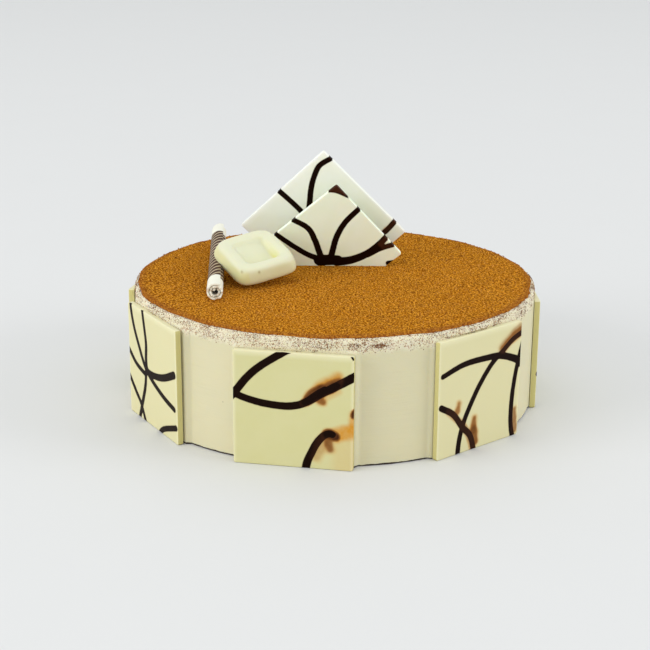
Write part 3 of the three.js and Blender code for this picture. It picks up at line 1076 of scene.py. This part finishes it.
def make_cup():
    """The cup: a low stack with a sunken middle, squared off and softened all over."""
    foot, directions, tall = cup_place()
    half, mouth = CUP_WIDTH / 2, CUP_MOUTH / 2
    well = tall - CUP_DEPTH
    profile = [
        (6, 0), (half - 1.4, 0), (half - 0.5, 0.3), (half - 0.1, 1.1), (half, 2.2), (half - 0.25, 3.6),
        (half - 0.7, 5.2), (half - 1.15, 6.5), (half - 1.6, 7.4), (half - 2.2, 8.0), (half - 3.1, tall),
        (half - 4.6, tall + 0.02), (mouth + 1.5, tall - 0.05), (mouth + 0.6, tall - 0.3),
        (mouth, tall - 0.9), (mouth - 0.5, tall - 2.0), (mouth - 1.1, well + 1.2), (mouth - 1.7, well + 0.4),
        (mouth - 2.8, well + 0.05), (mouth - 4.6, well), (2.4, well),
    ]
    cup = turned_stack("chocolate_cup_piece", profile, 96)
    points = points_of(cup)
    angle, reach = around_axis(points)
    squareness = np.where(reach < mouth + 2, 6.0, 5.6 - 1.0 * points[:, 2] / tall)
    squared = (abs(np.cos(angle)) ** squareness + abs(np.sin(angle)) ** squareness) ** (-1 / squareness)
    points[:, :2] *= squared[:, None]
    set_points(cup, points)
    finish_with(cup, "SUBSURF", levels=1, render_levels=1)
    points = points_of(cup)
    x, y, z = points.T.copy()
    inside = np.maximum(abs(x), abs(y))
    sunk = limited((tall - z) / CUP_DEPTH) * (inside < mouth + 0.5)
    # Painted shade: strongest on one inner wall of the recess, and on the outer sides under the rim, weaker
    # on the front side
    wall_shade = sunk * np.clip((y - mouth + 3.2) / 1.4, 0.16, 1) * np.clip(0.45 + x / mouth, 0.3, 1)
    shaded = limited((7.7 - z) / 1.8) * (inside > mouth + 3)
    shaded *= np.where(y < -12, 0.15 + 0.35 * limited((z - 0.8) / 2.2), 0.26)
    store(cup, "painted_shade", np.maximum(wall_shade, shaded))
    shallow = 0.40 + 0.60 * limited(0.55 + (x + y) / (2.2 * mouth))
    points[:, 2] = np.where(inside < mouth + 0.5, tall - (tall - z) * shallow, z)
    bubbles = np.zeros(len(points))
    for spot in CUP_BUBBLES:
        bubbles = np.maximum(bubbles, limited(1.6 - 1.7 * np.linalg.norm(points - spot, axis=1)))
    store(cup, "bubble", bubbles)
    uneven = [lumps(points, 7, 21), lumps(points, 7, 22), 0.8 * lumps(points, 9, 23)]
    points += 0.12 * np.stack(uneven, axis=1)
    set_points(cup, points @ directions + foot)
    smooth(cup, 60)
    return hand_over(cup, cup_finish(), "white_chocolate", "chocolate_cup")


def make_roll():
    """The roll: one long sheet of chocolate wound in a spiral."""
    points = corners_of("chocolate_roll")
    low, high = (np.array(corner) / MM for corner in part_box("chocolate_roll"))
    near = points[points[:, 1] < (low[1] + high[1]) / 2].mean(axis=0)
    far = points[points[:, 1] > (low[1] + high[1]) / 2].mean(axis=0)
    long = float(np.linalg.norm(far - near))
    along = (far - near) / long
    rows, around = 150, 76
    clear_selection()
    bpy.ops.mesh.primitive_grid_add(x_subdivisions=around, y_subdivisions=rows, size=1)
    roll = started("chocolate_roll_piece")
    flat = points_of(roll) * MM
    wound = flat[:, 0] + 0.5
    down = (flat[:, 1] + 0.5) * long
    nibble = 3.4 * abs(lumps(np.stack([wound * 50, 0 * wound, down * 0], axis=1), 2.6, 31)) + 0.6 * wound
    down += nibble * (limited(1 - down / 5) - 0.5 * limited((down - long) / 5 + 1))
    turn = 2 * math.pi * ROLL_TURNS * wound + math.radians(60)
    radius = ROLL_WIDTH / 2 - ROLL_SHEET / 2 - ROLL_PITCH * ROLL_TURNS * wound
    radius = radius + 0.10 * lumps(np.stack([wound * 30, 0 * wound, down], axis=1), 14, 32)
    side = np.cross(along, (0, 0, 1))
    side /= np.linalg.norm(side)
    lift = np.cross(side, along)
    middle = (near + far) / 2
    middle[2] = low[2] + (ROLL_WIDTH - ROLL_PITCH / 2) / 2 + 0.15
    spots = (middle + np.outer(down - long / 2, along) + np.outer(radius * np.cos(turn), side)
             + np.outer(radius * np.sin(turn), lift))
    set_points(roll, spots)
    store(roll, "along", down)
    store(roll, "around", wound * ROLL_TURNS)
    step = 1.2
    near_end = limited(1 - (down - PLAIN_NEAR_END) / step)
    far_end = limited((down - (long - PLAIN_FAR_END)) / step)
    store(roll, "end", np.maximum(near_end, far_end))
    # painted shade inside the hollow: the inner turns, weak right at the ends and full a few millimetres in
    store(roll, "inner", limited((wound - 0.62) / 0.1) * np.clip(down / 3 - 0.4, 0.15, 1))
    finish_with(roll, "SOLIDIFY", thickness=ROLL_SHEET * MM, offset=0)
    round_edges(roll, 0.3, 2)
    face_outward(roll)
    smooth(roll, 50)
    return hand_over(roll, roll_finish(), "striped_chocolate", "chocolate_roll")


# ---------------------------------------------------------------- floor, light, camera

CAMERA_PLACE = (-4.7, -730.0, 269.3)
CAMERA_PITCH = 17.76
CAMERA_ROLL = 0.403
CAMERA_LENS = 83.3


def add_light(name, place, target, size, power):
    clear_selection()
    aim = (Vector(target) - Vector(place)).to_track_quat("-Z", "Y").to_euler()
    bpy.ops.object.light_add(type="AREA", location=Vector(place) * MM, rotation=aim)
    light = bpy.context.object
    light.name = name
    light.data.shape = "RECTANGLE"
    light.data.size, light.data.size_y = (s * MM for s in size)
    light.data.energy = power


def make_stage():
    clear_selection()
    bpy.ops.mesh.primitive_plane_add(size=8000 * MM)
    floor = started("floor")
    edit_all(floor)
    bpy.ops.mesh.subdivide(number_cuts=7)
    stop_editing()
    floor.data.materials.append(floor_finish())

    add_light("overhead", (-300, -700, 3000), (0, 0, 40), (2400, 2400), 5.0)
    add_light("front", (-500, -3200, 1300), (0, 0, 60), (1600, 1200), 6.8)
    add_light("left", (-2850, -1350, 1250), (0, 0, 40), (1800, 1500), 39)
    add_light("right", (3060, -600, 1270), (0, 0, 40), (1500, 1500), 28.5)
    add_light("back", (0, 2600, 3000), (0, 1200, 0), (2600, 1800), 4.6)
    world = bpy.data.worlds.new("studio")
    world.use_nodes = True
    backdrop = world.node_tree.nodes["Background"]
    backdrop.inputs["Color"].default_value = (0.98, 1.0, 1.0, 1.0)
    backdrop.inputs["Strength"].default_value = 0.811
    bpy.context.scene.world = world
    bpy.context.scene.view_settings.view_transform = "Standard"

    clear_selection()
    bpy.ops.object.camera_add(location=Vector(CAMERA_PLACE) * MM)
    camera = bpy.context.object
    camera.name = "camera"
    tilt = Matrix.Rotation(math.radians(90 - CAMERA_PITCH), 4, "X")
    roll = Matrix.Rotation(math.radians(CAMERA_ROLL), 4, "Z")
    camera.rotation_euler = (tilt @ roll).to_euler()
    camera.data.lens = CAMERA_LENS
    camera.data.sensor_width = 36.0
    camera.data.clip_start = 0.01
    camera.data.clip_end = 20.0
    bpy.context.scene.camera = camera


# ---------------------------------------------------------------- operators and panel

class CAKE_OT_base(bpy.types.Operator):
    """Make the dark sponge base"""
    bl_idname = "cake.make_base"
    bl_label = "Sponge base"

    def execute(self, context):
        make_sponge()
        return {"FINISHED"}


class CAKE_OT_cream(bpy.types.Operator):
    """Make the smoothed cream"""
    bl_idname = "cake.make_cream"
    bl_label = "Cream"

    def execute(self, context):
        make_cream()
        return {"FINISHED"}


class CAKE_OT_cocoa(bpy.types.Operator):
    """Make the dusted cocoa"""
    bl_idname = "cake.make_cocoa"
    bl_label = "Cocoa"

    def execute(self, context):
        make_cocoa()
        return {"FINISHED"}


class CAKE_OT_grains(bpy.types.Operator):
    """Scatter loose grains of cocoa on the top and the rim"""
    bl_idname = "cake.make_grains"
    bl_label = "Cocoa grains"

    def execute(self, context):
        make_grains()
        return {"FINISHED"}


class CAKE_OT_side_squares(bpy.types.Operator):
    """Make the marbled squares round the side"""
    bl_idname = "cake.make_side_squares"
    bl_label = "Side squares"

    def execute(self, context):
        make_side_squares()
        return {"FINISHED"}


class CAKE_OT_upright_squares(bpy.types.Operator):
    """Make the two squares that stand on a corner"""
    bl_idname = "cake.make_upright_squares"
    bl_label = "Upright squares"

    def execute(self, context):
        make_upright_squares()
        return {"FINISHED"}


class CAKE_OT_cup(bpy.types.Operator):
    """Make the small cup of white chocolate"""
    bl_idname = "cake.make_cup"
    bl_label = "Cup"

    def execute(self, context):
        make_cup()
        return {"FINISHED"}


class CAKE_OT_roll(bpy.types.Operator):
    """Make the striped roll of chocolate"""
    bl_idname = "cake.make_roll"
    bl_label = "Roll"

    def execute(self, context):
        make_roll()
        return {"FINISHED"}


class CAKE_OT_stage(bpy.types.Operator):
    """Set the floor, the lights and the camera"""
    bl_idname = "cake.make_stage"
    bl_label = "Stage"

    def execute(self, context):
        make_stage()
        return {"FINISHED"}


OPERATORS = [CAKE_OT_base, CAKE_OT_cream, CAKE_OT_cocoa, CAKE_OT_grains, CAKE_OT_side_squares,
             CAKE_OT_upright_squares, CAKE_OT_cup, CAKE_OT_roll, CAKE_OT_stage]


class CAKE_PT_sidebar(bpy.types.Panel):
    """Lists the pieces of the cake, in the order they are made"""
    bl_label = "Tiramisu cake"
    bl_space_type = "VIEW_3D"
    bl_region_type = "UI"
    bl_category = "Cake"

    def draw(self, context):
        for group in (context.scene.cake_sizes, context.scene.cake_colours):
            for name in group.bl_rna.properties.keys():
                if name not in ("rna_type", "name"):
                    self.layout.prop(group, name)
        for operator in OPERATORS:
            self.layout.operator(operator.bl_idname)


CLASSES = [CakeSizes, CakeColours, *OPERATORS, CAKE_PT_sidebar]


def register():
    for kind in CLASSES:
        bpy.utils.register_class(kind)
    bpy.types.Scene.cake_sizes = PointerProperty(type=CakeSizes)
    bpy.types.Scene.cake_colours = PointerProperty(type=CakeColours)


def unregister():
    del bpy.types.Scene.cake_colours
    del bpy.types.Scene.cake_sizes
    for kind in reversed(CLASSES):
        bpy.utils.unregister_class(kind)


def main():
    register()
    bpy.ops.cake.make_base()
    bpy.ops.cake.make_cream()
    bpy.ops.cake.make_cocoa()
    bpy.ops.cake.make_grains()
    bpy.ops.cake.make_side_squares()
    bpy.ops.cake.make_upright_squares()
    bpy.ops.cake.make_cup()
    bpy.ops.cake.make_roll()
    bpy.ops.cake.make_stage()


if __name__ == "__main__":
    main()
